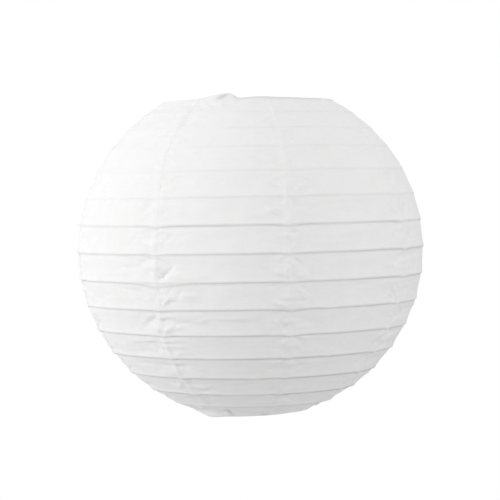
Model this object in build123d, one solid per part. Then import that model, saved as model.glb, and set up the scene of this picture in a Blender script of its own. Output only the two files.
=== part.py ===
from build123d import *
import math
import os

# Round accordion paper lantern, hung by the wire eye of its expander.
# Millimetres, +Z up. The origin is the point where a hook bears, inside the top of the eye.
# Heights in the driving dimensions are measured from the lantern's middle.

# Paper body: the ridges over the hoops lie on an ellipse that is turned about Z.
body_radius = 150.0
body_half_height = 146.3
paper_thickness = 0.2
paper_to_wire = 0.1

# Where the hoops sit, as the ellipse's angle in degrees from the upper pole: the top ring, three bands
# over the crown, eleven down the body and a last one to the bottom ring.
top_ring_angle = 29.4
crown_step = 8.0
crown_bands = 3
body_step = 9.04
body_bands = 11
hem_step = 8.3

# Gores: panels of paper joined by a lap that lies over the next panel's edge. Angles are in degrees about
# Z, and hem_end is how far round its ring the paper is turned, as a direction in the section plane.
gore_count = 8
first_seam = -123.0
lap_angle = 2.2
joggle_angle = 0.8
seam_half_gap = 0.01
lap_gap = 0.04
hem_end = 200.0

# The wedge that cuts a hem out of a full circle: its reach in hem radii and the sides of its far edge.
wedge_reach = 4
wedge_steps = 4

# Wires
rib_wire_radius = 0.5
ring_wire_radius = 1.0
expander_wire_radius = 1.1
wire_contact_gap = 0.05

# Expander: the eye is in the middle of the arms, and the arms end in hairpin saddles under the top ring.
eye_inner_radius = 5.0
eye_below_rim = 0.6
arm_level_start = 24.0
arm_trough_end = 12.0
arm_bend_radius = 4.0
hairpin_radius = 2.2
hairpin_bend_share = 0.98
saddle_past_ring = 0.5
leg_reach = 38.0
leg_bend_radius = 3.0
leg_pivot_drop = 7.8
leg_pivot_gap = 0.3
foot_to_hem = 0.4


def hoop_angles():
    """The ellipse angles of the top ring, the ribs and the bottom ring, from the top down."""
    angles = [top_ring_angle]
    for step in [crown_step] * crown_bands + [body_step] * body_bands + [hem_step]:
        angles.append(angles[-1] + step)
    return angles


def ridge_point(angle, offset=0.0):
    """The radius and height of the paper's ridge at an ellipse angle, moved outward by an offset."""
    turn = math.radians(angle)
    radius = body_radius * math.sin(turn)
    height = body_half_height * math.cos(turn)
    normal = Vector(radius / body_radius**2, height / body_half_height**2).normalized()
    return radius + offset * normal.X, height + offset * normal.Y


angles = hoop_angles()
rib_angles = angles[1:-1]
rib_inset = paper_thickness + paper_to_wire + rib_wire_radius
hem_radius = paper_thickness + paper_to_wire + ring_wire_radius
ribs = [ridge_point(angle, -rib_inset) for angle in rib_angles]
top_ring_place = ridge_point(angles[0], -hem_radius)
bottom_ring_place = ridge_point(angles[-1], -hem_radius)

# Heights of the expander, from the lantern's middle.
eye_wire_radius = eye_inner_radius + expander_wire_radius
eye_centre = top_ring_place[1] + hem_radius - eye_below_rim - eye_inner_radius - 2 * expander_wire_radius
hook_height = eye_centre + eye_inner_radius
wires_apart = ring_wire_radius + wire_contact_gap + expander_wire_radius
arm_height = top_ring_place[1] - wires_apart
leg_wire_height = arm_height - 2 * hairpin_radius
leg_pivot_height = leg_wire_height - leg_pivot_drop
foot_height = bottom_ring_place[1] + wires_apart
foot_tip = bottom_ring_place[0] - hem_radius - foot_to_hem


def placed(shape):
    """Moves a shape from the lantern's middle to the hook's bearing point."""
    return Pos(0, 0, -hook_height) * shape


def hoop(place, wire_radius):
    """A closed wire hoop at a radius and height."""
    return Pos(0, 0, place[1]) * Torus(place[0], wire_radius)


def bent_wire(corners, radii):
    """A round expander wire along corners in the XZ plane, each bend with its own radius."""
    path = FilletPolyline(*[(x, 0, z) for x, z in corners], radius=radii)
    section = Plane(origin=path @ 0, z_dir=path % 0) * Circle(expander_wire_radius)
    return sweep(section, path=path)


def hem_section(place, start, end, inner, outer):
    """Paper turned round a ring, between two angles in the section plane."""
    reach = wedge_reach * hem_radius
    rays = [start + (end - start) * step / wedge_steps for step in range(wedge_steps + 1)]
    rim = [(reach * math.cos(math.radians(ray)), reach * math.sin(math.radians(ray))) for ray in rays]
    wedge = Polygon((0, 0), *rim, align=None)
    band = Circle(hem_radius + outer) - Circle(hem_radius + inner)
    return Pos(*place) * (band & wedge)


def normal_angle(angle):
    """The direction of the ridge's outward normal in the section plane, in degrees."""
    near, far = ridge_point(angle), ridge_point(angle, 1.0)
    return math.degrees(math.atan2(far[1] - near[1], far[0] - near[0]))


def paper_section(inner, outer):
    """The section of a paper layer between two offsets from the ridge line, with both hems."""
    far_side = [ridge_point(angle, outer) for angle in angles]
    near_side = [ridge_point(angle, inner) for angle in reversed(angles)]
    bands = Polygon(*far_side, *near_side, align=None)
    top_hem = hem_section(top_ring_place, normal_angle(angles[0]), hem_end, inner, outer)
    bottom_hem = hem_section(bottom_ring_place, normal_angle(angles[-1]), -hem_end, inner, outer)
    return Plane.XZ * (bands + top_hem + bottom_hem)


def paper_layer(inner, outer, start, end):
    """A layer of paper swept about Z from one angle to another."""
    layer = revolve(paper_section(inner, outer), Axis.Z, revolution_arc=end - start)
    return Rot(0, 0, start) * layer


def paper_gore(number):
    """One panel, with a joggle at its far edge that carries the glue lap over the next panel."""
    start = first_seam + 360 / gore_count * number
    end = start + 360 / gore_count
    edge = end - seam_half_gap
    panel = paper_layer(-paper_thickness, 0, start + seam_half_gap, edge)
    joggle = paper_layer(-paper_thickness, lap_gap + paper_thickness, end - joggle_angle, edge)
    lap = paper_layer(lap_gap, lap_gap + paper_thickness, edge, end + lap_angle)
    return panel + joggle + lap


def arm():
    """One side of the hanger: from the eye along the arm, round the saddle and back to the leg."""
    eye_base = eye_centre - eye_wire_radius
    tip = top_ring_place[0] + saddle_past_ring + hairpin_radius
    corners = [
        (0, eye_base),
        (arm_trough_end, eye_base),
        (arm_level_start, arm_height),
        (tip, arm_height),
        (tip, leg_wire_height),
        (leg_reach, leg_wire_height),
        (leg_reach, leg_pivot_height + expander_wire_radius + leg_pivot_gap),
    ]
    hairpin_bend = hairpin_bend_share * hairpin_radius
    bends = [arm_bend_radius, arm_bend_radius, hairpin_bend, hairpin_bend, leg_bend_radius]
    return bent_wire(corners, bends)


def hanger():
    """The middle of the expander wire: eye, arms and the saddles that carry the top ring."""
    eye = Pos(0, 0, eye_centre) * Rot(90, 0, 0) * Torus(eye_wire_radius, expander_wire_radius)
    side = arm()
    return eye + side + mirror(side, about=Plane.YZ)


def leg():
    """One leg with its foot, from the round end where it flexes down to the tip beside the bottom ring."""
    corners = [(leg_reach, leg_pivot_height), (leg_reach, foot_height), (foot_tip, foot_height)]
    end = Pos(leg_reach, 0, leg_pivot_height) * Sphere(expander_wire_radius)
    return end + bent_wire(corners, [leg_bend_radius])


def build_parts():
    """Every node of the lantern by name."""
    parts = {
        "top_ring": hoop(top_ring_place, ring_wire_radius),
        "bottom_ring": hoop(bottom_ring_place, ring_wire_radius),
        "hanger": hanger(),
        "right_leg": leg(),
        "left_leg": mirror(leg(), about=Plane.YZ),
    }
    for number, place in enumerate(ribs, start=1):
        parts[f"rib_{number:02d}"] = hoop(place, rib_wire_radius)
    for number in range(gore_count):
        parts[f"paper_gore_{number + 1}"] = paper_gore(number)
    return parts


os.makedirs("parts", exist_ok=True)
for name, shape in build_parts().items():
    export_step(placed(shape), f"parts/{name}.step")
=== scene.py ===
"""Looks of a round accordion paper lantern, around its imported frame. Metres, +Z up, -Y is the front.

The wires are the frame's own nodes with new materials. Each gore's plain shell is replaced by a finer sheet.
A sheet is a grid: its rows run round the lantern, and its columns run down from the top hem to the bottom."""
import math
import bpy
import numpy as np
from mathutils import Euler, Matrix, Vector


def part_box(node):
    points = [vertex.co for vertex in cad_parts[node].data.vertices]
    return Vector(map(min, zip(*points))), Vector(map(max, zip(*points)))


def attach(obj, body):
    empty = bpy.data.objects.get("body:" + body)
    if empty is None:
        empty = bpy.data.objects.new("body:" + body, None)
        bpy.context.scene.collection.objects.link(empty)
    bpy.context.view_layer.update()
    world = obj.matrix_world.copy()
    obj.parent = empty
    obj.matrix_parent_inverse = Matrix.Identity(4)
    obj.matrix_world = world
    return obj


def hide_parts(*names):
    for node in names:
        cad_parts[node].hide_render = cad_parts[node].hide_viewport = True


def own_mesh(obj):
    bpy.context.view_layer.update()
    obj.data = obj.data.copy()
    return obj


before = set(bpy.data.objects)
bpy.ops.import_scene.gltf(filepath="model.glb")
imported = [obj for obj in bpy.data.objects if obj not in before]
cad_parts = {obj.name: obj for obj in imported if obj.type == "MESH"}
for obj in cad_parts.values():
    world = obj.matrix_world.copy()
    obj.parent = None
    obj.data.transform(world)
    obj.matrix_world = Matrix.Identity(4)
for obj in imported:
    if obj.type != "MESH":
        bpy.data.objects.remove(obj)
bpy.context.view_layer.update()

MM = 0.001

# Paper gores, as the frame has them.
GORES = 8
FIRST_SEAM = math.radians(-123)
GORE_ANGLE = 2 * math.pi / GORES
LAP_ANGLE = math.radians(2.2)
JOGGLE_ANGLE = math.radians(0.8)
SEAM_GAP = math.radians(0.01)
LAP_GAP = 0.04 * MM
LAP_TAPER = 0.8
PAPER = 0.2 * MM
PAPER_TO_WIRE = 0.1 * MM

# The widest level, as a share of the way down from the top ring to the bottom ring.
WIDEST_LEVEL = 0.4793

# How finely the paper is meshed. The columns near a seam are FINE_COLUMN times as wide as the others.
GORE_COLUMNS = 104
LAP_COLUMNS = 8
JOGGLE_COLUMNS = 4
FINE_NEAR_SEAM = 24 * MM
FINE_COLUMN = 0.36
BAND_ROWS = 25
WRAP_ROWS = 12
FLANGE_ROWS = 6
SHARP_EDGE = math.radians(65)
COLUMN_SAMPLES = 1001

# The hems: the paper turns round each ring, and its edge, the flange, is glued down inside. The top flange
# is cut short where the hanger's saddles bear on the ring.
FLANGE_LENGTH = 7 * MM
FLANGE_STARTS_CLOSING = 2 * MM
FLANGE_CLOSED = 6.5 * MM
FLANGE_GAP = 0.3 * MM
NOTCH_HALF_WIDTH = 1.5 * MM
NOTCH_FADE = 1.4 * MM
NOTCH_STARTS = 0.78
NOTCH_KEEPS = 0.04

# The paper's shape between two hoops. Over the crown and at the last band it tucks in less. Heights such as
# CROWN_STARTS are from the widest level, in body radii.
TUCK_DEPTH = 0.45 * MM
TUCK_UNDER_HOOP = 0.9 * MM
TUCK_OVER_HOOP = 2.2 * MM
GROOVE_DEPTH = 0.45 * MM
GROOVE_WIDTH = 1.2 * MM
CROWN_TUCK = 0.3
CROWN_STARTS = (0.12, 0.34)
LAST_BAND_TUCK = 0.4
SAG_TOP = 0.1 * MM
SAG_BOTTOM = 0.5 * MM
UNEVENNESS = 0.45
HOOP_ROUNDING = 2 * MM
CLEAR_OF_WIRE = 0.05 * MM

# Lumps and crumples: their sizes and heights. A hoop's line is shifted a little up and down too.
WIDE_LUMP = 34 * MM
WIDE_BILLOW = 0.4 * MM
SMALL_LUMP = 13 * MM
SMALL_BILLOW = 0.28 * MM
CRUMPLE = 14 * MM
CRUMPLE_FLATNESS = np.array([1, 1, 2.8])
CRUMPLE_LEVEL = 0.4
SHIFT_LUMP = 22 * MM
LINE_SHIFT = 0.35 * MM
SEAM_SHIFT = 0.5 * MM
HEM_RELIEF = 0.25

# How far from a seam it keeps the paper stiff, leaves it slack under a hoop, and crumples it.
STIFF_NEAR_SEAM = 5 * MM
SLACK_NEAR_SEAM = 11 * MM
CRUMPLED_NEAR_SEAM = 17 * MM
SEAM_SLACK = 1.0 * MM

# One band hangs loose from its hoop at one seam. Azimuths are in degrees from the front, positive to +X.
LOOSE_BAND = 8
LOOSE_SLACK = 3.0 * MM
LOOSE_AZIMUTH = -31
LOOSE_SPREAD = 9

# Where a hoop shows through the paper as a faint grey line: painted shade of the wire and of the groove under
# it.
LINE_BELOW_HOOP = 0.8 * MM
LINE_WIDTH = 0.9 * MM
LINE_DARKNESS = 0.13

# The rings' painted shade lines, in shares of LINE_DARKNESS: round each hem, and under the front right part
# of the rim.
HEM_LINE = 1.3
HEM_LINE_PLACE = 0.25
HEM_LINE_SPREAD = 0.2
RIM_LINE_WIDTH = 2.2 * MM
RIM_LINE_STARTS = (-12, -6)
RIM_LINE_FADES = (15, 150)

# Loose spots of the hems: a flap and a slight rise at the top, and a long and a short sag below.
HEM_WAVE = 0.25 * MM
HEM_WAVE_LENGTH = 16 * MM
HEM_FADE = 4.5 * MM
FLAP_HEIGHT = 3.9 * MM
FLAP_RISES = (-39, -12.5)
FLAP_FALLS = (-11.5, -5.5)
RISE = 0.9 * MM
RISE_AZIMUTH = 8
RISE_SPREAD = 9
LONG_SAG = 1.6 * MM
LONG_SAG_AZIMUTH = -33
LONG_SAG_SPREADS = (38, 46)
SHORT_SAG = 1.5 * MM
SHORT_SAG_AZIMUTH = -48
SHORT_SAG_SPREAD = 13

# Each seam wanders a little from its meridian.
SEAM_SWAY = math.radians(1.2)
SWAY_HEIGHT = 100 * MM
SWAY_STARTS = 20 * MM

# The studio: a sky that is paler above, two soft boxes, a lamp for the light through the paper, and a floor.
SKY_LOW = 0.48
SKY_HIGH = 0.83
SOFT_LIGHTS = (("key", (-2.7, -0.6, 0.35), 31, 1.4), ("fill", (1.9, -2.0, 0.4), 13, 1.6))
INNER_POWER = 0.1
INNER_SIZE = 0.05
FLOOR_BELOW = 1.8
FLOOR_RADIUS = 5.2
FLOOR_SIDES = 96

# The camera. It is rolled, because the lantern hangs a little askew.
CAMERA_DISTANCE = 1.7407
CAMERA_HEIGHT = 0.0496
FRAME_WIDTH = 0.4335
SENSOR = 36.0
CAMERA_ROLL = math.radians(-1.1)
AIM_OFFSET = (-0.0004, 0.0, -0.0007)


def smooth(low, high, value):
    """0 below low, 1 above high, and an S curve between them."""
    share = np.clip((value - low) / (high - low), 0, 1)
    return share * share * (3 - 2 * share)


def bell(value, width):
    """1 at zero, falling away to 0 on both sides."""
    return np.exp(-((value / width) ** 2))


def unit(vector):
    return vector / np.linalg.norm(vector)


def hoop_place(node):
    """The radius, height and wire radius of a CAD hoop."""
    low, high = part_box(node)
    wire = (high.z - low.z) / 2
    return max(high.x - low.x, high.y - low.y) / 2 - wire, (high.z + low.z) / 2, wire


rib_nodes = sorted(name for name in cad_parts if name.startswith("rib_"))
hoop_nodes = ["top_ring"] + rib_nodes + ["bottom_ring"]
hoops = [hoop_place(name) for name in hoop_nodes]
WIRES = np.array([wire for _, _, wire in hoops])
TOP_RADIUS, TOP_Z, _ = hoops[0]
BOTTOM_Z = hoops[-1][1]
BODY_RADIUS = max(radius for radius, _, _ in hoops) + hoops[1][2] + PAPER_TO_WIRE + PAPER
CENTRE_Z = TOP_Z - (TOP_Z - BOTTOM_Z) * WIDEST_LEVEL

# Bands are numbered from the top. The hems count as the bands before the first and after the last.
TOP_HEM = -1
LAST_BAND = len(hoops) - 2
BOTTOM_HEM = LAST_BAND + 1


def ridge_normals():
    """The outward direction of the paper at every hoop, in the section plane."""
    places = np.array([(radius, z) for radius, z, _ in hoops])
    chords = np.diff(places, axis=0)
    bands = [unit(np.array([-chord[1], chord[0]])) for chord in chords]
    turn = [unit(a + b) for a, b in zip(bands, bands[1:])]
    first = unit(2 * bands[0] - turn[0])
    last = unit(2 * bands[-1] - turn[-1])
    return [first] + turn + [last]


normals = ridge_normals()
ridges = [
    np.array([radius, z]) + (wire + PAPER_TO_WIRE + PAPER) * normal
    for (radius, z, wire), normal in zip(hoops, normals)
]


class Rows:
    """The rows of the paper's grid, as arrays with one entry a row.

    hem is 0 on the bands, rises to 1 round the ring and to 2 at the flange's edge."""

    def __init__(self):
        self.points, self.normals, self.band, self.along, self.length, self.hem = [], [], [], [], [], []

    def add(self, point, normal, band, along, length, hem):
        self.points.append(point)
        self.normals.append(normal)
        self.band.append(band)
        self.along.append(along)
        self.length.append(length)
        self.hem.append(hem)

    def finish(self):
        for name in ("points", "normals", "band", "along", "length", "hem"):
            setattr(self, name, np.array(getattr(self, name)))
        steps = np.linalg.norm(np.diff(self.points, axis=0), axis=1)
        self.distance = np.concatenate([[0], np.cumsum(steps)])
        self.radius = self.points[:, 0]
        return self


def hem_path(ring, normal, down, side):
    """A hem's section from its inner edge round the ring to the ridge. side is 1 at the top and -1 below."""
    centre = np.array(ring[:2])
    wrap = ring[2] + PAPER_TO_WIRE + PAPER
    start = math.atan2(normal[1], normal[0])
    points, facings, shares = [], [], []
    for row in range(FLANGE_ROWS):
        out = FLANGE_LENGTH * (1 - row / FLANGE_ROWS)
        closing = smooth(FLANGE_STARTS_CLOSING, FLANGE_CLOSED, out)
        inset = 2 * wrap + closing * (2 * PAPER + FLANGE_GAP - 2 * wrap)
        points.append(centre + (wrap - inset) * normal + out * down)
        facings.append(-normal)
        shares.append(1 + out / FLANGE_LENGTH)
    for row in range(WRAP_ROWS):
        share = 1 - row / WRAP_ROWS
        angle = start + side * math.pi * share
        facing = np.array([math.cos(angle), math.sin(angle)])
        points.append(centre + wrap * facing)
        facings.append(facing)
        shares.append(share)
    return points, facings, shares


def band_steps(length):
    """Distances down a band: close together under the upper hoop and near the lower one."""
    share = np.linspace(0, 1, BAND_ROWS + 1)[:-1]
    eased = 0.12 * share + 0.88 * share**1.75
    near_end = 0.5 * (1 - np.cos(math.pi * share))
    return length * (0.8 * eased + 0.2 * near_end * share)


def paper_rows():
    """Every row of the paper's section, from the top hem's inner edge to the bottom hem's."""
    rows = Rows()
    first = unit(ridges[1] - ridges[0])
    points, facings, shares = hem_path(hoops[0], normals[0], first, 1)
    for point, facing, share in zip(points, facings, shares):
        rows.add(point, facing, TOP_HEM, 0.0, 1.0, share)
    for band, (upper, lower) in enumerate(zip(ridges, ridges[1:])):
        length = np.linalg.norm(lower - upper)
        direction = (lower - upper) / length
        flat = np.array([-direction[1], direction[0]])
        for along in band_steps(length):
            share = along / length
            near = math.exp(-along / HOOP_ROUNDING) * (1 - share)
            near_low = math.exp((along - length) / HOOP_ROUNDING) * share
            facing = unit(flat + near * (normals[band] - flat) + near_low * (normals[band + 1] - flat))
            rows.add(upper + along * direction, facing, band, along, length, 0.0)
    last = unit(ridges[-2] - ridges[-1])
    points, facings, shares = hem_path(hoops[-1], normals[-1], last, -1)
    rows.add(ridges[-1], normals[-1], LAST_BAND, length, length, 0.0)
    for point, facing, share in reversed(list(zip(points, facings, shares))):
        rows.add(point, facing, BOTTOM_HEM, 0.0, 1.0, share)
    return rows.finish()


rows = paper_rows()


def hashed(x, y, z, seed):
    """A fixed pseudo-random number from 0 to 1 for every lattice point. The factors only mix the bits."""
    mixed = ((x * 73856093) ^ (y * 19349663) ^ (z * 83492791) ^ (seed * 2654435761)) & 0xFFFFFFFF
    mixed = ((mixed ^ (mixed >> 13)) * 1274126177) & 0xFFFFFFFF
    mixed = ((mixed ^ (mixed >> 16)) * 1597334677) & 0xFFFFFFFF
    return ((mixed ^ (mixed >> 15)) & 0xFFFFFFFF) / 0xFFFFFFFF


def noise(points, size, seed):
    """Smooth noise from about -1 to 1 at points, with lumps of the given size."""
    scaled = points / size
    cell = np.floor(scaled).astype(np.int64)
    part = scaled - cell
    part = part * part * part * (part * (6 * part - 15) + 10)
    total = 0
    for dx in (0, 1):
        for dy in (0, 1):
            for dz in (0, 1):
                weight = 1
                for axis, step in enumerate((dx, dy, dz)):
                    weight = weight * (part[..., axis] if step else 1 - part[..., axis])
                corner = hashed(cell[..., 0] + dx, cell[..., 1] + dy, cell[..., 2] + dz, seed)
                total = total + weight * corner
    return 2 * total - 1


def turned(angle):
    """An angle brought to between -pi and pi."""
    return (angle + math.pi) % (2 * math.pi) - math.pi


def azimuth(theta):
    """Degrees from the front, positive towards +X."""
    return np.degrees(turned(theta + math.pi / 2))


def place_of(band, share):
    """The distance down the section and the radius at a share of a band."""
    inside = np.flatnonzero(rows.band == band)
    row = inside[np.argmin(abs(rows.along[inside] - share * rows.length[inside]))]
    return rows.distance[row], rows.radius[row]


def fanned_crease(rng, middle, band, strength):
    """A crease at a seam that runs out from a hoop at a slope."""
    downward = rng.choice([-1, 1])
    share = rng.uniform(0.0, 0.15) if downward > 0 else rng.uniform(0.85, 1.0)
    distance, radius = place_of(band, share)
    side = rng.choice([-1, 1])
    slope = math.radians(rng.uniform(8, 42))
    length = rng.uniform(4, 13) * MM
    width = rng.uniform(0.9, 1.9) * MM
    reach = length + rng.uniform(-2, 4) * MM
    return {
        "theta": middle + side * reach * math.cos(slope) / radius,
        "distance": distance + downward * reach * math.sin(slope),
        "angle": downward * side * slope,
        "length": length,
        "width": width,
        "height": rng.choice([-1, 1]) * rng.uniform(0.35, 1.1) * width * strength,
    }


def crumpled_crease(rng, middle, band, strength):
    """A small crease close to a seam, at any slope."""
    distance, radius = place_of(band, rng.uniform(0.15, 0.85))
    width = rng.uniform(0.8, 1.4) * MM
    return {
        "theta": middle + rng.normal(0, 5) * MM / radius,
        "distance": distance,
        "angle": math.radians(rng.uniform(-55, 55)),
        "length": rng.uniform(2, 6) * MM,
        "width": width,
        "height": rng.choice([-1, 1]) * rng.uniform(0.3, 0.9) * width * strength,
    }


def seam_creases(rng):
    """Creases at the seams: long ones that fan out from the hoops, and small crumples between them."""
    creases = []
    for seam in range(GORES):
        middle = FIRST_SEAM + seam * GORE_ANGLE + LAP_ANGLE / 2
        for band in range(LAST_BAND + 1):
            strength = 0.5 + 0.5 * smooth(3, 8, band) - 0.5 * smooth(9, 13, band)
            for _ in range(rng.integers(6, 12)):
                creases.append(fanned_crease(rng, middle, band, strength))
            for _ in range(rng.integers(3, 8)):
                creases.append(crumpled_crease(rng, middle, band, strength))
    return creases


def long_folds(rng):
    """Long shallow folds that run almost along the hoops."""
    creases = []
    for band in range(LAST_BAND + 1):
        strength = 0.4 + 0.6 * smooth(2, 7, band)
        for _ in range(38):
            distance, _ = place_of(band, rng.uniform(0.15, 0.85))
            width = rng.uniform(1.2, 3.0) * MM
            creases.append({
                "theta": rng.uniform(-math.pi, math.pi),
                "distance": distance,
                "angle": math.radians(rng.normal(0, 5)),
                "length": rng.uniform(9, 30) * MM,
                "width": width,
                "height": rng.choice([-1, 1]) * rng.uniform(0.1, 0.4) * width * strength,
            })
    return creases


def small_creases(rng):
    """Short creases anywhere on the paper."""
    creases = []
    for band in range(LAST_BAND + 1):
        for _ in range(12):
            distance, _ = place_of(band, rng.uniform(0.05, 0.95))
            width = rng.uniform(0.9, 1.8) * MM
            creases.append({
                "theta": rng.uniform(-math.pi, math.pi),
                "distance": distance,
                "angle": math.radians(rng.uniform(-50, 50)),
                "length": rng.uniform(3, 9) * MM,
                "width": width,
                "height": rng.choice([-1, 1]) * rng.uniform(0.08, 0.35) * width,
            })
    return creases


def front_crease(place, band, share, angle, length, width, height):
    """One crease placed by its azimuth and its share of the way down a band. Degrees and millimetres."""
    return {
        "theta": math.radians(place - 90),
        "distance": place_of(band, share)[0],
        "angle": math.radians(angle),
        "length": length * MM,
        "width": width * MM,
        "height": height * MM,
    }


def front_creases():
    """The few creases that mark this lantern's front."""
    return [
        front_crease(-16.5, 0, 0.12, -16, 8, 1.1, -1.6),
        front_crease(-15, 0, 0.45, 78, 7, 0.9, 0.5),
        front_crease(-21, 0, 0.5, -70, 6, 0.8, 0.4),
        front_crease(-16.5, 9, 0.42, -18, 12, 1.0, 0.95),
        front_crease(-40, 6, 0.4, -42, 7, 1.0, -0.8),
        front_crease(-29, 6, 0.15, -20, 9, 1.1, 0.8),
        front_crease(-23.8, 8, 0.4, -61, 10, 1.2, -0.9),
        front_crease(-27.5, 8, 0.35, -50, 6, 1.5, -0.9),
        front_crease(-21.5, 14, 0.7, 73, 6, 1.1, -1.0),
    ]


def front_shadow(place, band, share, angle, length, width, darkness):
    """A painted shadow of a deep fold on the front, placed like a crease. Its darkness is in shares of
    LINE_DARKNESS.
    """
    shadow = front_crease(place, band, share, angle, length, width, 0)
    shadow["height"] = darkness
    return shadow


def front_shadows():
    """The few deep folds that light doesn't reach into."""
    return [
        front_shadow(-15.7, 0, 0.085, -15, 8, 1.9, 2.2),
        front_shadow(-21.5, 14, 0.68, 73, 7.5, 1.8, 2.6),
        front_shadow(55, 14, 0.06, -5, 5, 2.2, 2.4),
        front_shadow(9, 14, 0.93, -5, 6, 2.0, 1.8),
    ]


rng = np.random.default_rng(12)
all_creases = seam_creases(rng) + long_folds(rng) + small_creases(rng) + front_creases()


def crease_relief(theta, creases):
    """The height of creases on the grid of rows and columns."""
    relief = np.zeros((len(rows.band), len(theta)))
    for crease in creases:
        reach = crease["length"] + 5 * crease["width"]
        near_rows = np.flatnonzero(abs(rows.distance - crease["distance"]) < reach)
        if not len(near_rows):
            continue
        nearest = rows.radius[near_rows].min()
        near_columns = np.flatnonzero(abs(turned(theta - crease["theta"])) * nearest < reach)
        if not len(near_columns):
            continue
        grid = np.ix_(near_rows, near_columns)
        x = turned(theta[near_columns] - crease["theta"])[None, :] * rows.radius[near_rows][:, None]
        y = (rows.distance[near_rows] - crease["distance"])[:, None]
        cosine, sine = math.cos(crease["angle"]), math.sin(crease["angle"])
        lengthwise = abs(x * cosine + y * sine) / crease["length"]
        crosswise = abs(y * cosine - x * sine) / crease["width"]
        taper = np.clip(1 - lengthwise**2, 0, 1) ** 1.5
        relief[grid] += crease["height"] * np.exp(-crosswise) * taper
    return relief


class Grid:
    """What the relief needs to know of every point of a grid of rows and columns.

    height is from the widest level, in body radii. lower and deep are 1 at the lantern's bottom, 0 higher."""

    def __init__(self, theta):
        self.theta = theta
        self.front = azimuth(theta)[None, :]
        self.on_band = (rows.hem == 0)[:, None]
        self.along = rows.along[:, None]
        self.left = (rows.length - rows.along)[:, None]
        self.share = np.clip(rows.along / rows.length, 0, 1)[:, None]
        self.arch = np.sin(math.pi * self.share)
        self.height = (rows.points[:, 1][:, None] - CENTRE_Z) / BODY_RADIUS
        self.lower = 1 - smooth(-0.5, 0.6, self.height)
        self.deep = 1 - smooth(-0.9, -0.3, self.height)
        seam = turned((theta[None, :] - FIRST_SEAM - LAP_ANGLE / 2) * GORES) / GORES
        self.seam_distance = abs(seam) * rows.radius[:, None]
        self.stiff = bell(self.seam_distance, STIFF_NEAR_SEAM)
        self.spots = self.points()
        self.wide = noise(self.spots, WIDE_LUMP, seed=1)
        self.uneven = (1 + UNEVENNESS * self.wide) * (1 - UNEVENNESS * self.stiff)

    def points(self):
        """The points in space, before any relief."""
        ring = np.stack([np.cos(self.theta), np.sin(self.theta)], axis=1)
        size = (len(rows.band), len(self.theta))
        flat = np.broadcast_to(rows.points[:, None, 0:1] * ring[None, :, :], (*size, 2))
        return np.concatenate([flat, np.broadcast_to(rows.points[:, None, 1:2], (*size, 1))], axis=2)


def tuck_strength(grid):
    """How strongly the paper tucks in at the hoops: little over the crown and at the last band."""
    tuck = CROWN_TUCK + (1 - CROWN_TUCK) * (1 - smooth(*CROWN_STARTS, grid.height))
    tuck = tuck * grid.uneven * (1 + 0.2 * (1 - smooth(-0.7, 0, grid.height)))
    return tuck * np.where(rows.band == LAST_BAND, LAST_BAND_TUCK, 1)[:, None]


def below_tuck(grid):
    """The distance below the upper hoop's tuck, which slips down where the paper is slack."""
    slack = SEAM_SLACK * (0.5 + grid.wide) * bell(grid.seam_distance, SLACK_NEAR_SEAM)
    loose = LOOSE_SLACK * bell(grid.front - LOOSE_AZIMUTH, LOOSE_SPREAD)
    slack = slack + np.where(rows.band == LOOSE_BAND, 1, 0)[:, None] * loose
    return np.clip(grid.along - np.maximum(slack, 0), 0, None)


def tuck_depth(grid, tuck, under):
    """A narrow groove right under each hoop, and the paper drawn in across the band."""
    groove = GROOVE_DEPTH * (under / GROOVE_WIDTH) * np.exp(1 - under / GROOVE_WIDTH)
    drawn_in = TUCK_DEPTH * (1 - np.exp(-under / TUCK_UNDER_HOOP)) * (1 - np.exp(-grid.left / TUCK_OVER_HOOP))
    return tuck * (groove + drawn_in)


def sag_depth(grid):
    """The slight hollow of each band, deeper towards the bottom."""
    sag = (SAG_TOP + (SAG_BOTTOM - SAG_TOP) * grid.lower) * grid.uneven
    return sag * np.sin(math.pi * grid.share**0.8)


def billow(grid):
    """Wide and small lumps, which fade at the hoops."""
    small = noise(grid.spots, SMALL_LUMP, seed=2)
    return (WIDE_BILLOW * grid.wide + SMALL_BILLOW * small) * grid.arch


def crumpling(grid):
    """Sharp-edged crumples, which are strongest near the seams and weak at the lantern's bottom."""
    crumple = abs(noise(grid.spots * CRUMPLE_FLATNESS, CRUMPLE, seed=3)) - CRUMPLE_LEVEL
    near_seam = np.exp(-((grid.seam_distance / CRUMPLED_NEAR_SEAM) ** 1.5))
    crumple = crumple * (0.2 + 1.5 * near_seam) * MM * (0.5 + 0.5 * grid.lower) * grid.arch**0.5
    return crumple * (1 - 0.6 * grid.deep)


def darkness(grid, tuck, under):
    """The painted shade on the paper, in shares of LINE_DARKNESS: under the hoops, round the rings and in the
    deepest folds."""
    width = LINE_WIDTH * (1 + 0.8 * grid.deep)
    line = tuck * (0.95 + 1.5 * grid.deep) * bell(under - LINE_BELOW_HOOP, width)
    # The painted shade is stronger on the right, away from the key light, and weaker over the crown.
    line = line * (1 - 0.4 * smooth(0.2, 0.5, grid.height)) * (1 + 0.4 * np.sin(np.radians(grid.front)))
    # Painted shade round each ring, in the hem.
    hem_line = HEM_LINE * bell(rows.hem - HEM_LINE_PLACE, HEM_LINE_SPREAD)[:, None]
    line = np.where(grid.on_band, line, hem_line)
    # A painted shadow of the ring under the rim on the front right.
    rim_line = bell(grid.along, RIM_LINE_WIDTH) * smooth(*RIM_LINE_STARTS, grid.front)
    rim_line = rim_line * (1 - smooth(*RIM_LINE_FADES, grid.front))
    line = line + np.where((rows.band == 0)[:, None], rim_line, 0)
    return np.maximum(line, crease_relief(grid.theta, front_shadows()))


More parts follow.
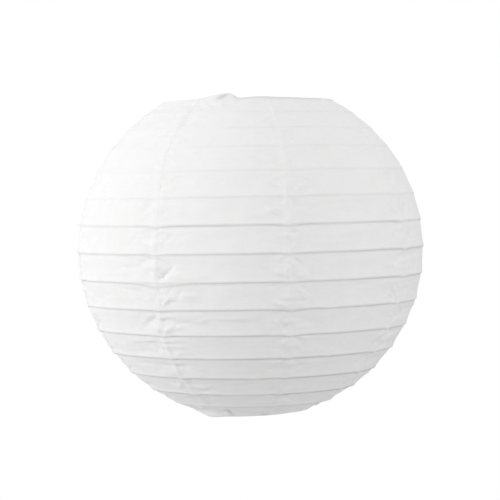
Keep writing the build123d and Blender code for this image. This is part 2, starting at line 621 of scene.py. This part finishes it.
def keep_off_wires(grid, out, shift):
    """Lifts the paper wherever it would come closer to a hoop's wire than CLEAR_OF_WIRE."""
    from_hoop = np.minimum(abs(grid.along + shift), abs(grid.left - shift))
    upper = np.clip(rows.band, 0, LAST_BAND)[:, None]
    wire = np.where(grid.along < grid.left, WIRES[upper], WIRES[upper + 1])
    clear = wire + PAPER + CLEAR_OF_WIRE
    over_wire = np.sqrt(np.clip(clear**2 - from_hoop**2, 0, None)) - wire - PAPER_TO_WIRE - PAPER
    out = np.where(grid.on_band & (from_hoop < clear), np.maximum(out, over_wire), out)
    return np.where(grid.on_band, out, np.maximum(out, -CLEAR_OF_WIRE))


def follow_bands(out):
    """Makes each hem's inner edge follow the band that it lies against."""
    from_top, from_bottom = rows.along, rows.length - rows.along
    for hem, band, from_ring in ((TOP_HEM, 0, from_top), (BOTTOM_HEM, LAST_BAND, from_bottom)):
        inside = np.flatnonzero(rows.band == band)
        for row in np.flatnonzero((rows.band == hem) & (rows.hem > 1)):
            distance = (rows.hem[row] - 1) * FLANGE_LENGTH
            beside = inside[np.argmin(abs(from_ring[inside] - distance))]
            out[row] = -smooth(FLANGE_STARTS_CLOSING, FLANGE_CLOSED, distance) * out[beside]


def relief_of(theta):
    """How far the paper stands out from the straight bands, how far it is shifted down them, and how much
    painted shade it gets."""
    grid = Grid(theta)
    tuck = tuck_strength(grid)
    under = below_tuck(grid)
    creased = crease_relief(theta, all_creases) * (0.4 + 0.6 * grid.arch**0.5)
    formed = -tuck_depth(grid, tuck, under) - sag_depth(grid) + billow(grid) + crumpling(grid) + creased
    out = np.where(grid.on_band, formed, creased * HEM_RELIEF)
    shift = LINE_SHIFT * noise(grid.spots, SHIFT_LUMP, seed=5) + SEAM_SHIFT * grid.stiff
    shift = np.where(grid.on_band, shift * np.cos(math.pi * grid.share) ** 2, 0)
    out = keep_off_wires(grid, out, shift)
    follow_bands(out)
    return out, shift, darkness(grid, tuck, under)


def rim_lift(theta):
    """How far the hems stand off their rings, upward at the top and downward below."""
    ring = np.stack([TOP_RADIUS * np.cos(theta), TOP_RADIUS * np.sin(theta), 0 * theta], axis=1)
    waves = HEM_WAVE * (1 + noise(ring, HEM_WAVE_LENGTH, seed=7))
    front = azimuth(theta)
    flap = FLAP_HEIGHT * smooth(*FLAP_RISES, front) * (1 - smooth(*FLAP_FALLS, front))
    top = waves + flap + RISE * bell(front - RISE_AZIMUTH, RISE_SPREAD)
    spread = np.where(front < LONG_SAG_AZIMUTH, *LONG_SAG_SPREADS)
    low = waves + LONG_SAG * bell(front - LONG_SAG_AZIMUTH, spread)
    low = low + SHORT_SAG * bell(front - SHORT_SAG_AZIMUTH, SHORT_SAG_SPREAD)
    return top, low


def rim_shift():
    """How much of the hem's lift reaches each row, at the top and below."""
    outside = 1 - smooth(0.3, 0.85, rows.hem)
    top = np.where(rows.band == 0, bell(rows.along, HEM_FADE), 0)
    top = np.where(rows.band == TOP_HEM, outside, top)
    low = np.where(rows.band == LAST_BAND, bell(rows.length - rows.along, HEM_FADE), 0)
    low = np.where(rows.band == BOTTOM_HEM, outside, low)
    return top, low


def notch_rows(theta, radius, height):
    """Shortens the top hem's inner edge where the hanger's saddles bear on the ring."""
    off_saddle = abs(TOP_RADIUS * np.sin(theta))
    kept = smooth(NOTCH_HALF_WIDTH, NOTCH_HALF_WIDTH + NOTCH_FADE, off_saddle)
    share = NOTCH_KEEPS + (1 - NOTCH_KEEPS) * kept
    in_hem = np.flatnonzero(rows.band == TOP_HEM)
    stop = in_hem[np.argmin(abs(rows.hem[in_hem] - NOTCH_STARTS))]
    for row in in_hem[in_hem < stop]:
        radius[row] = radius[stop] + (radius[row] - radius[stop]) * share
        height[row] = height[stop] + (height[row] - height[stop]) * share


def column_steps():
    """The columns' angles from a gore's first edge: close together near both seams."""
    share = np.linspace(0, 1, COLUMN_SAMPLES)
    from_seam = np.minimum(share, 1 - share) * GORE_ANGLE * BODY_RADIUS
    spacing = FINE_COLUMN + (1 - FINE_COLUMN) * smooth(0.7 * FINE_NEAR_SEAM, 1.3 * FINE_NEAR_SEAM, from_seam)
    crowded = np.concatenate([[0], np.cumsum(1 / spacing[1:])])
    even = np.interp(np.linspace(0, 1, GORE_COLUMNS), crowded / crowded[-1], share)
    return SEAM_GAP + even * (GORE_ANGLE - JOGGLE_ANGLE - SEAM_GAP)


def gore_columns(number):
    """The columns' angles, and for every point its lift to lie over the next gore and its thickness.

    The lap has the same columns as the gore under it, so that the two never cross. It gets thinner with the
    lantern's radius, so that it is no steeper near the openings."""
    start = FIRST_SEAM + GORE_ANGLE * number
    end = start + GORE_ANGLE
    body = start + column_steps()
    joggle = np.linspace(end - JOGGLE_ANGLE, end, JOGGLE_COLUMNS + 1)[1:-1]
    lap = end + column_steps()[:LAP_COLUMNS]
    theta = np.concatenate([body, joggle, lap])
    on_lap = smooth(end - JOGGLE_ANGLE, end - SEAM_GAP, theta)
    taper = 1 - LAP_TAPER * smooth(lap[LAP_COLUMNS // 2], lap[-1], theta)
    thinning = 1 - (1 - rows.radius[:, None] / BODY_RADIUS) * on_lap
    thickness = PAPER * taper * thinning
    lift = (thickness + LAP_GAP) * on_lap
    return theta, lift, thickness


def gore_skins(number):
    """The outer and inner skin of a gore, as rows and columns of points, and the painted shade on its paper.
    """
    theta, lift, thickness = gore_columns(number)
    out, shift, dark = relief_of(theta)
    out = out + lift
    facing_r, facing_z = rows.normals[:, 0][:, None], rows.normals[:, 1][:, None]
    radius = rows.radius[:, None] + out * facing_r + shift * facing_z
    height = rows.points[:, 1][:, None] + out * facing_z - shift * facing_r
    top_lift, low_lift = rim_lift(theta)
    top_share, low_share = rim_shift()
    height = height + top_share[:, None] * top_lift - low_share[:, None] * low_lift
    notch_rows(theta, radius, height)
    wave = np.cos(math.pi * (height - CENTRE_Z) / SWAY_HEIGHT)
    wave = wave * smooth(0, SWAY_STARTS, rows.distance)[:, None]
    turn = theta + SEAM_SWAY * wave * np.cos((theta - FIRST_SEAM) * GORES / 2)
    outer = np.stack([radius * np.cos(turn), radius * np.sin(turn), height], axis=2)
    return outer, outer - thickness[:, :, None] * skin_normals(outer), dark


def skin_normals(skin):
    """The unit normal of a grid of points at each point."""
    down = np.gradient(skin, axis=0)
    around = np.gradient(skin, axis=1)
    normal = np.cross(down, around)
    return normal / np.linalg.norm(normal, axis=2, keepdims=True)


def sheet_faces(count_rows, count_columns):
    """Quads of a closed thin sheet: its outer skin, its inner skin and its four edges."""
    index = np.arange(count_rows * count_columns).reshape(count_rows, count_columns)
    outer = np.stack([index[:-1, :-1], index[1:, :-1], index[1:, 1:], index[:-1, 1:]], axis=2).reshape(-1, 4)
    inner = outer[:, ::-1] + index.size
    border = np.concatenate([index[0, ::-1], index[1:, 0], index[-1, 1:], index[::-1, -1][1:-1]])
    following = np.roll(border, -1)
    edges = np.stack([following, border, border + index.size, following + index.size], axis=1)
    return np.concatenate([outer, inner, edges])


def mesh_object(name, points, faces):
    mesh = bpy.data.meshes.new(name)
    mesh.from_pydata(points.tolist(), [], faces.tolist())
    mesh.polygons.foreach_set("use_smooth", [True] * len(mesh.polygons))
    mesh.set_sharp_from_angle(angle=SHARP_EDGE)
    made = bpy.data.objects.new(name, mesh)
    bpy.context.scene.collection.objects.link(made)
    return made


def paper_gore(number, material):
    """The sheet that takes the place of one plain CAD gore."""
    outer, inner, dark = gore_skins(number)
    points = np.concatenate([outer.reshape(-1, 3), inner.reshape(-1, 3)])
    gore = mesh_object(f"gore_{number + 1}", points, sheet_faces(*dark.shape))
    gore.data.materials.append(material)
    # The painted shade of the hoops, rings and deep folds, kept on the outer skin's points for the material.
    painted_hoop_shade = gore.data.attributes.new("painted_hoop_shade", "FLOAT", "POINT")
    painted_hoop_shade.data.foreach_set("value", np.concatenate([dark.ravel(), 0 * dark.ravel()]))
    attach(gore, "hung_top")
    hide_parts(f"paper_gore_{number + 1}")
    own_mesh(gore)


class Nodes:
    """Short calls for building a material's node tree."""

    def __init__(self, name):
        self.material = bpy.data.materials.new(name)
        self.material.use_nodes = True
        self.tree = self.material.node_tree
        self.shader = self.tree.nodes["Principled BSDF"]
        self.place = self.tree.nodes.new("ShaderNodeTexCoord").outputs["Object"]

    def link(self, source, target):
        self.tree.links.new(source, target)

    def stretched(self, scale):
        node = self.tree.nodes.new("ShaderNodeMapping")
        node.inputs["Scale"].default_value = scale
        self.link(self.place, node.inputs["Vector"])
        return node.outputs["Vector"]

    def noise(self, scale, detail, vector=None, distortion=0.0):
        node = self.tree.nodes.new("ShaderNodeTexNoise")
        node.inputs["Scale"].default_value = scale
        node.inputs["Detail"].default_value = detail
        node.inputs["Distortion"].default_value = distortion
        self.link(vector or self.place, node.inputs["Vector"])
        return node.outputs["Fac"]

    def ramp(self, factor, stops):
        node = self.tree.nodes.new("ShaderNodeValToRGB")
        elements = node.color_ramp.elements
        for element, (position, colour) in zip(elements, (stops[0], stops[-1])):
            element.position = position
            element.color = colour
        for position, colour in stops[1:-1]:
            elements.new(position).color = colour
        self.link(factor, node.inputs["Fac"])
        return node.outputs["Color"]

    def spread(self, factor, low, high):
        """Maps 0 to low and 1 to high, and goes on in a straight line beyond them."""
        node = self.tree.nodes.new("ShaderNodeMapRange")
        node.clamp = False
        node.inputs["To Min"].default_value = low
        node.inputs["To Max"].default_value = high
        self.link(factor, node.inputs["Value"])
        return node.outputs["Result"]

    def attribute(self, name):
        node = self.tree.nodes.new("ShaderNodeAttribute")
        node.attribute_name = name
        return node.outputs["Fac"]

    def multiply(self, first, second):
        node = self.tree.nodes.new("ShaderNodeMix")
        node.data_type = "RGBA"
        node.blend_type = "MULTIPLY"
        node.inputs["Factor"].default_value = 1.0
        self.link(first, node.inputs["A"])
        self.link(second, node.inputs["B"])
        return node.outputs["Result"]

    def bump(self, height, distance, strength=1.0, under=None):
        node = self.tree.nodes.new("ShaderNodeBump")
        node.inputs["Distance"].default_value = distance
        node.inputs["Strength"].default_value = strength
        self.link(height, node.inputs["Height"])
        if under is not None:
            self.link(under, node.inputs["Normal"])
        return node.outputs["Normal"]


def grey(value, warmth=0.0):
    return (value, value * (1 - 0.3 * warmth), value * (1 - warmth), 1.0)


def paper_material():
    """Thin white tissue-like paper: cloudy pulp, faint long fibres, a matt surface, and painted shade along
    the hoops, round the rings and in deep folds.
    """
    nodes = Nodes("white_lantern_paper")
    cloud = nodes.noise(90, 4)
    fibre = nodes.noise(260, 5, nodes.stretched((1, 1, 5)), 1.2)
    speck = nodes.noise(1500, 2)
    pulp = nodes.ramp(cloud, [(0.3, grey(0.902, 0.004)), (0.7, grey(0.922, 0.001))])
    strands = nodes.ramp(fibre, [(0.36, grey(0.97)), (0.5, grey(1.0)), (0.66, grey(0.99))])
    # Darkens the base colour by the painted shade of the hoops, rings and deep folds.
    painted_hoop_shade = nodes.spread(nodes.attribute("painted_hoop_shade"), 1, 1 - LINE_DARKNESS)
    nodes.link(nodes.multiply(nodes.multiply(pulp, strands), painted_hoop_shade), nodes.shader.inputs["Base Color"])
    nodes.link(nodes.spread(speck, 0.72, 0.9), nodes.shader.inputs["Roughness"])
    grain = nodes.bump(speck, 0.03 * MM, 0.5)
    nodes.link(nodes.bump(fibre, 0.1 * MM, 0.5, grain), nodes.shader.inputs["Normal"])
    nodes.shader.inputs["Specular IOR Level"].default_value = 0.25
    return nodes.material


def painted_wire_material():
    """White-lacquered wire with thin spots where the steel shows through."""
    nodes = Nodes("white_lacquered_wire")
    wear = nodes.noise(420, 4)
    drips = nodes.noise(1100, 2)
    paint = [(0.28, (0.5, 0.5, 0.49, 1)), (0.34, grey(0.8, 0.02)), (0.75, grey(0.88, 0.01))]
    nodes.link(nodes.ramp(wear, paint), nodes.shader.inputs["Base Color"])
    nodes.link(nodes.spread(drips, 0.28, 0.5), nodes.shader.inputs["Roughness"])
    nodes.link(nodes.bump(drips, 0.05 * MM), nodes.shader.inputs["Normal"])
    return nodes.material


def steel_wire_material():
    """Drawn galvanised steel wire: fine lengthwise lines and a mottled zinc skin."""
    nodes = Nodes("galvanised_steel_wire")
    zinc = nodes.noise(500, 4)
    drawn = nodes.noise(900, 3, nodes.stretched((1, 3, 0.08)))
    skin = [(0.3, (0.42, 0.43, 0.45, 1)), (0.55, (0.6, 0.61, 0.62, 1)), (0.75, (0.72, 0.73, 0.74, 1))]
    nodes.link(nodes.ramp(zinc, skin), nodes.shader.inputs["Base Color"])
    nodes.link(nodes.spread(zinc, 0.25, 0.5), nodes.shader.inputs["Roughness"])
    nodes.link(nodes.bump(drawn, 0.04 * MM), nodes.shader.inputs["Normal"])
    nodes.shader.inputs["Metallic"].default_value = 1.0
    return nodes.material


def floor_material():
    """A pale matt floor, slightly cloudy."""
    nodes = Nodes("pale_floor")
    tone = nodes.ramp(nodes.noise(3, 3), [(0.3, grey(0.62)), (0.7, grey(0.66))])
    nodes.link(tone, nodes.shader.inputs["Base Color"])
    nodes.shader.inputs["Roughness"].default_value = 0.9
    return nodes.material


def dress_wires():
    """Gives the hoops and the expander, which are kept as the frame has them, their materials."""
    painted, steel = painted_wire_material(), steel_wire_material()
    for name in hoop_nodes + ["hanger", "left_leg", "right_leg"]:
        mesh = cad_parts[name]
        for material_slot in mesh.material_slots:
            material_slot.material = painted if name in hoop_nodes else steel


def make_floor():
    middle = (0, 0, BOTTOM_Z - FLOOR_BELOW)
    bpy.ops.mesh.primitive_circle_add(
        vertices=FLOOR_SIDES, radius=FLOOR_RADIUS, fill_type="NGON", location=middle
    )
    floor = bpy.context.object
    floor.name = "floor"
    floor.data.materials.append(floor_material())


def make_world():
    """White behind the object, and softer light from the sky than from below."""
    world = bpy.data.worlds.new("studio")
    world.use_nodes = True
    tree = world.node_tree
    tree.nodes.clear()
    place = tree.nodes.new("ShaderNodeTexCoord")
    split = tree.nodes.new("ShaderNodeSeparateXYZ")
    ramp = tree.nodes.new("ShaderNodeValToRGB")
    spread = tree.nodes.new("ShaderNodeMapRange")
    spread.inputs["From Min"].default_value = -1.0
    for element, position, tone in zip(ramp.color_ramp.elements, (0.15, 0.85), (SKY_LOW, SKY_HIGH)):
        element.position = position
        element.color = grey(tone)
    lit, seen = tree.nodes.new("ShaderNodeBackground"), tree.nodes.new("ShaderNodeBackground")
    seen.inputs["Color"].default_value = grey(1)
    path, mix = tree.nodes.new("ShaderNodeLightPath"), tree.nodes.new("ShaderNodeMixShader")
    output = tree.nodes.new("ShaderNodeOutputWorld")
    for source, target in (
        (place.outputs["Generated"], split.inputs["Vector"]),
        (split.outputs["Z"], spread.inputs["Value"]),
        (spread.outputs["Result"], ramp.inputs["Fac"]),
        (ramp.outputs["Color"], lit.inputs["Color"]),
        (path.outputs["Is Camera Ray"], mix.inputs["Fac"]),
        (lit.outputs["Background"], mix.inputs[1]),
        (seen.outputs["Background"], mix.inputs[2]),
        (mix.outputs["Shader"], output.inputs["Surface"]),
    ):
        tree.links.new(source, target)
    bpy.context.scene.world = world


def aim(made, target):
    """Turns a light or camera to look at a point."""
    direction = Vector(target) - made.location
    made.rotation_euler = direction.to_track_quat("-Z", "Y").to_euler()


def soft_light(name, place, power, size):
    """A square soft box aimed at the lantern's middle."""
    data = bpy.data.lights.new(name, "AREA")
    data.energy = power
    data.size = size
    light = bpy.data.objects.new(name, data)
    light.location = Vector(place) + Vector((0, 0, CENTRE_Z))
    bpy.context.scene.collection.objects.link(light)
    aim(light, (0, 0, CENTRE_Z))


def inner_light():
    """The light that thin paper lets through, gathered in one soft lamp in the lantern's middle."""
    data = bpy.data.lights.new("through_paper", "POINT")
    data.energy = INNER_POWER
    data.shadow_soft_size = INNER_SIZE
    light = bpy.data.objects.new("through_paper", data)
    light.location = (0, 0, CENTRE_Z)
    light.visible_camera = False
    bpy.context.scene.collection.objects.link(light)


def make_camera():
    data = bpy.data.cameras.new("camera")
    data.sensor_width = SENSOR
    data.lens = SENSOR * CAMERA_DISTANCE / FRAME_WIDTH
    camera = bpy.data.objects.new("camera", data)
    camera.location = (AIM_OFFSET[0], -CAMERA_DISTANCE, CENTRE_Z + CAMERA_HEIGHT)
    bpy.context.scene.collection.objects.link(camera)
    aim(camera, Vector((0, 0, CENTRE_Z)) + Vector(AIM_OFFSET))
    roll = Euler((0, 0, CAMERA_ROLL)).to_matrix()
    camera.rotation_euler = (camera.rotation_euler.to_matrix() @ roll).to_euler()
    bpy.context.scene.camera = camera


make_camera()
make_world()
inner_light()
for light in SOFT_LIGHTS:
    soft_light(*light)
make_floor()
dress_wires()
paper = paper_material()
for number in range(GORES):
    paper_gore(number, paper)
bpy.context.scene.view_settings.view_transform = "Standard"

bpy.context.view_layer.update()
